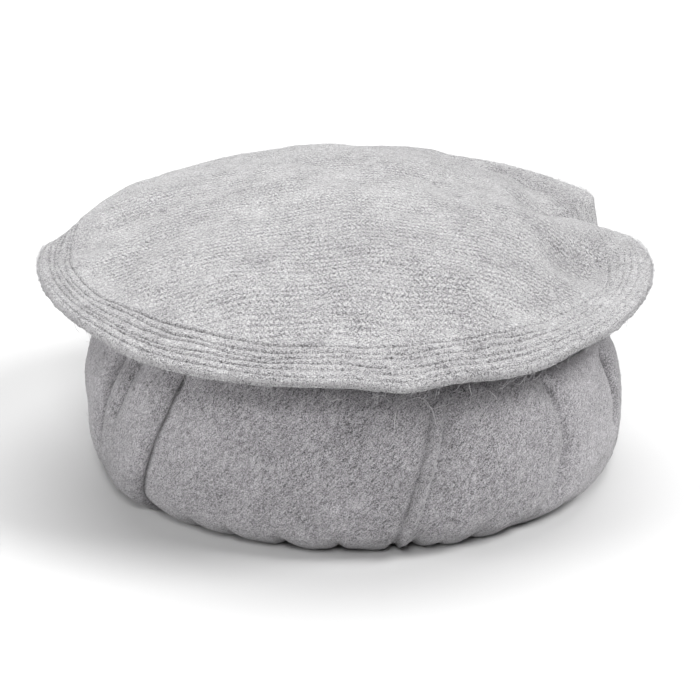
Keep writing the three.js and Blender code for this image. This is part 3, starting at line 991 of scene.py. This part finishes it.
def tubes(name, paths, radii, material, sides=4):
    """Thin tubes along many paths of the same number of points, as one mesh."""
    count, steps, _ = paths.shape
    tangent = unit(np.gradient(paths, axis=1))
    helper = np.where(np.abs(tangent[..., 2:]) > STEEP, [1.0, 0, 0], [0, 0, 1.0])
    across = unit(np.cross(tangent, helper))
    upward = np.cross(across, tangent)
    turns = np.arange(sides) * 2 * np.pi / sides
    circle = across[:, :, None] * np.cos(turns)[:, None] + upward[:, :, None] * np.sin(turns)[:, None]
    points = paths[:, :, None] + circle * np.asarray(radii)[..., None, None]
    faces = grid_faces(np.arange(count * steps * sides).reshape(count, steps, sides))
    return new_object(name, points.reshape(-1, 3), faces, material)


THREAD_RADIUS = 0.17
THREAD_ARCH = 0.4
THREAD_SINK = 0.42
THREAD_HIDING = 0.25
THREAD_STEPS = 5
THREAD_STRETCH = (0.32, 0.68)


def make_stitches():
    """Each stitch of the flange's rows: a short thread that comes out of the cloth and goes back in."""
    paths = []
    along = np.linspace(*THREAD_STRETCH, THREAD_STEPS)
    for row in range(ROW_COUNT):
        count = stitches_in(row)
        angle = (np.arange(count)[:, None] + along - ROW_OFFSET * row) / count * TURN
        share = 1 - row_inset(row, angle) / CROWN_RADIUS
        lift = dome_relief(share, angle) + PUFF + THREAD_ARCH * np.sin(along * np.pi) - THREAD_SINK
        strength = around_cap(ROW_STRENGTHS, "strength", angle)
        lift -= GROOVE_DEPTH * strength + THREAD_HIDING * (1 - strength)
        paths.append(point_below(share, angle, -lift))
    return tubes("flange_stitches", np.concatenate(paths), THREAD_RADIUS, DARKENED_STITCH_THREAD)


# The fibres of the nap: how many lie on each part, how long they are and how high they rise
CROWN_FIBRES = {"count": 7000, "length": 3.2, "rise": 0.25}
RIM_FIBRES = {"count": 6500, "length": 2.2, "rise": 0.6}
BAND_FIBRES = {"count": 6500, "length": 3.0, "rise": 0.25}
FIBRE_RADIUS = 0.045
FIBRE_STEPS = 5
FIBRE_SIDES = 3
FIBRE_SINK = 0.05
SHORTEST_FIBRE = 0.4
SHORTEST_ARCH = 0.5

# Where the nap grows: out to a share of the crown's radius, down a stretch of the flange's edge, where it
# points out and droops, and on the band past a distance from its axis, where the cloth doesn't face the floor
CROWN_FIBRE_REACH = 0.995
RIM_FIBRE_DEPTHS = (0.2, 0.75 * EDGE_DEPTH)
RIM_FIBRE_INSET = 0.4
RIM_FIBRE_SPREAD = 0.5
RIM_FIBRE_DROOP = 0.3
BAND_FIBRE_REACH = 101
BAND_FIBRE_DOWNWARD = -0.8


def make_fibres(name, random, roots, normals, looks, material):
    """Curved fibres that start in the cloth, lie along it and come back near it, and stay above the floor."""
    count = len(roots)
    helper = random.normal(size=(count, 3))
    along = unit(helper - normals * np.sum(helper * normals, axis=1, keepdims=True))
    side = np.cross(normals, along)
    share = np.linspace(0, 1, FIBRE_STEPS)[None, :, None]
    lengths = random.uniform(SHORTEST_FIBRE, 1, size=(count, 1, 1)) * looks["length"]
    lift = np.abs(random.normal(size=(count, 1, 1))) * looks["rise"]
    curl = random.normal(size=(count, 1, 1))
    arch = np.sin(share * np.pi * random.uniform(SHORTEST_ARCH, 1, size=(count, 1, 1)))
    paths = (
        roots[:, None]
        + along[:, None] * lengths * (share - 0.5)
        + side[:, None] * curl * lengths * np.square(share - 0.5)
        + normals[:, None] * (lift * arch - FIBRE_SINK)
    )
    paths[..., 2] = np.maximum(paths[..., 2], FIBRE_RADIUS)
    return tubes(name, paths, FIBRE_RADIUS, material, FIBRE_SIDES)


def make_crown_fibres(random):
    """Fibres lying over the crown."""
    share = np.sqrt(random.uniform(0, 1, CROWN_FIBRES["count"])) * CROWN_FIBRE_REACH
    angle = random.uniform(0, TURN, CROWN_FIBRES["count"])
    roots = crown_surface(share, angle)
    return make_fibres("crown_fibres", random, roots, crown_normal(share, angle), CROWN_FIBRES, LIGHT_FIBRE)


def make_rim_fibres(random):
    """Fibres that stand out of the flange's cut edge."""
    count = RIM_FIBRES["count"]
    angle = random.uniform(0, TURN, count)
    depth = random.uniform(*RIM_FIBRE_DEPTHS, count)
    roots = point_below(1 - RIM_FIBRE_INSET / CROWN_RADIUS, angle, depth)
    upward = random.normal(size=count) * RIM_FIBRE_SPREAD - RIM_FIBRE_DROOP
    outward = unit(place((0, 0), 1, angle, upward))
    return make_fibres("rim_fibres", random, roots, outward, RIM_FIBRES, LIGHT_FIBRE)


def vertex_values(mesh, name):
    """Three numbers of each vertex of a mesh."""
    values = np.empty(len(mesh.vertices) * 3)
    mesh.vertices.foreach_get(name, values)
    return values.reshape(-1, 3)


def make_band_fibres(random, sleeve):
    """Fibres lying over the band's outside."""
    points = vertex_values(sleeve.data, "co") / MM
    normals = vertex_values(sleeve.data, "normal")
    outside = from_axis(BAND_CENTRE, points) > BAND_FIBRE_REACH
    outside &= (points[:, 2] < ROLL_TOP) & (normals[:, 2] > BAND_FIBRE_DOWNWARD)
    chosen = random.choice(np.nonzero(outside)[0], BAND_FIBRES["count"])
    return make_fibres("band_fibres", random, points[chosen], normals[chosen], BAND_FIBRES, GREY_FIBRE)


# Long loose strands: arches that lie on the band, each with the angle and height of its top, its half width
# in degrees and how far its ends hang below the top
LOOSE_ARCHES = table("angle height half_width drop", [
    [281.6, 66, 4, 10], [274.5, 67.5, 2.2, 2.5], [286.3, 62, 2.5, -2.5],
    [266, 66, 2, -2], [296, 65, 3, 4],
])
ARCH_RADIUS = 0.12
ARCH_LIFT = 2.6
ARCH_SHARPNESS = 2.2
ARCH_WOBBLE = 0.4
ARCH_WOBBLE_RATE = 7
STRAND_STEPS = 18

# Short strands that hang from the flange's edge: how many, how big, and how far they swing, tuck in and fall
HANGING_STRANDS = 260
HANGING_RADIUS = 0.065
HANGING_LENGTH = 6.5
SHORTEST_HANGING = 0.4
HANGING_SWING = 0.6
HANGING_INWARD = 3
INWARD_SPREAD = (0.5, 1.5)
FALL_TURNS = (1.2, 2.6)
HANGING_DEPTH = 0.8 * EDGE_DEPTH
HANGING_INSET = 0.5


def arch_paths():
    """A few long strands that arch over the band, a little wavy."""
    along = np.linspace(-1, 1, STRAND_STEPS)
    paths = []
    for arch in rows_of(LOOSE_ARCHES):
        angle = arch["angle"] + arch["half_width"] * np.sin(along * np.pi / 2)
        height = arch["height"] - arch["drop"] * np.abs(along) ** ARCH_SHARPNESS
        wall = np.interp(height, OUTER_WALL["height"], OUTER_WALL["radius"])
        wobble = ARCH_WOBBLE * np.sin(along * ARCH_WOBBLE_RATE)
        paths.append(place(BAND_CENTRE, wall + SLEEVE_CLOTH / 2 + ARCH_LIFT, angle, height + wobble))
    return paths


def hanging_paths(random):
    """Many short strands that hang from the flange's lower edge."""
    one_each = (HANGING_STRANDS, 1)
    share = np.linspace(0, 1, STRAND_STEPS)
    start = random.uniform(0, TURN, one_each)
    length = random.uniform(SHORTEST_HANGING, 1, one_each) ** 3 * HANGING_LENGTH
    sideways = random.normal(size=one_each) * share + random.normal(size=one_each) * share**2
    inward = random.uniform(*INWARD_SPREAD, one_each) * np.sqrt(share) * HANGING_INWARD
    fall = length * np.sin(share * random.uniform(*FALL_TURNS, one_each))
    angle = start + np.degrees(sideways * length * HANGING_SWING / CROWN_RADIUS)
    root = point_below(1, start, HANGING_DEPTH)[..., 2]
    return place(CROWN_CENTRE, CROWN_RADIUS - HANGING_INSET - inward, angle, root - fall)


def make_loose_strands(random):
    """The long strands over the band and the short ones under the flange."""
    paths = np.stack([*arch_paths(), *hanging_paths(random)])
    radii = np.full((len(paths), 1), HANGING_RADIUS)
    radii[: len(LOOSE_ARCHES["angle"])] = ARCH_RADIUS
    return tubes("loose_strands", paths, radii, PALE_FIBRE)


random = np.random.default_rng(RANDOM_SEED)
crown = make_crown()
sleeve = make_sleeve()
pieces = {crown: "crown_wool", sleeve: "sleeve_wool", make_stitches(): "crown_wool"}
pieces[make_crown_fibres(random)] = "crown_wool"
pieces[make_rim_fibres(random)] = "crown_wool"
pieces[make_loose_strands(random)] = "crown_wool"
pieces[make_band_fibres(random, sleeve)] = "sleeve_wool"
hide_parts("crown")
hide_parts("rolled_sleeve")
for piece, slot in pieces.items():
    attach(piece, "root")


# Floor, lights and camera

FLOOR_SIZE = 8.0
FLOOR_SHADER = {"Base Color": (0.61, 0.61, 0.61, 1), "Roughness": 0.9}
WORLD_STRENGTH = 0.08

# Wide soft lights far off: where each stands as an angle and an elevation, how wide it looks in degrees, and
# how bright it makes white
LIGHTS = {
    "top_light": (85, 70, 50, 0.87),
    "front_light": (270, 41, 16, 0.43),
    "left_light": (192, 20, 30, 0.52),
    "right_light": (348, 45, 26, 0.82),
}

# The camera aims at a point this far left of the band's axis and this high above the floor, in millimetres
AIM_SHIFT = 1.74
AIM_HEIGHT = 44.57
CAMERA_TARGET = np.array([BAND_CENTRE[0] - AIM_SHIFT, BAND_CENTRE[1], AIM_HEIGHT]) * MM
CAMERA_ELEVATION = 21.0
CAMERA_DISTANCE = 0.9
LENS = 111.9
SENSOR = 36.0


def make_floor():
    """A wide pale floor under the cap."""
    bpy.ops.mesh.primitive_plane_add(size=FLOOR_SIZE)
    floor = bpy.context.object
    floor.name = "floor"
    nodes = Nodes("floor")
    nodes.surface(FLOOR_SHADER)
    floor.data.materials.append(nodes.material)


def place_holder(name, data, target, angle, elevation, distance):
    """Object for a light or camera, at a distance from a target in metres and turned towards it."""
    holder = bpy.data.objects.new(name, data)
    height = math.radians(elevation)
    towards = place((0, 0), math.cos(height), angle, math.sin(height))
    holder.location = target + distance * towards
    holder.rotation_mode = "QUATERNION"
    holder.rotation_quaternion = Vector(-towards).to_track_quat("-Z", "Y")
    bpy.context.scene.collection.objects.link(holder)
    return holder


def make_light(name, angle, elevation, spread, strength):
    """One of the lights, a metre from the origin."""
    light = bpy.data.lights.new(name, "SUN")
    light.angle = math.radians(spread)
    light.energy = strength * math.pi
    place_holder(name, light, np.zeros(3), angle, elevation, 1)


def make_camera():
    """The camera in front of the cap and above it."""
    camera = bpy.data.cameras.new("camera")
    camera.lens = LENS
    camera.sensor_width = SENSOR
    holder = place_holder("camera", camera, CAMERA_TARGET, FRONT, CAMERA_ELEVATION, CAMERA_DISTANCE)
    bpy.context.scene.camera = holder


world = bpy.data.worlds.new("studio")
world.use_nodes = True
background = world.node_tree.nodes["Background"]
background.inputs["Color"].default_value = (1, 1, 1, 1)
background.inputs["Strength"].default_value = WORLD_STRENGTH
bpy.context.scene.world = world
bpy.context.scene.view_settings.view_transform = "Standard"
make_floor()
for name, placing in LIGHTS.items():
    make_light(name, *placing)
make_camera()
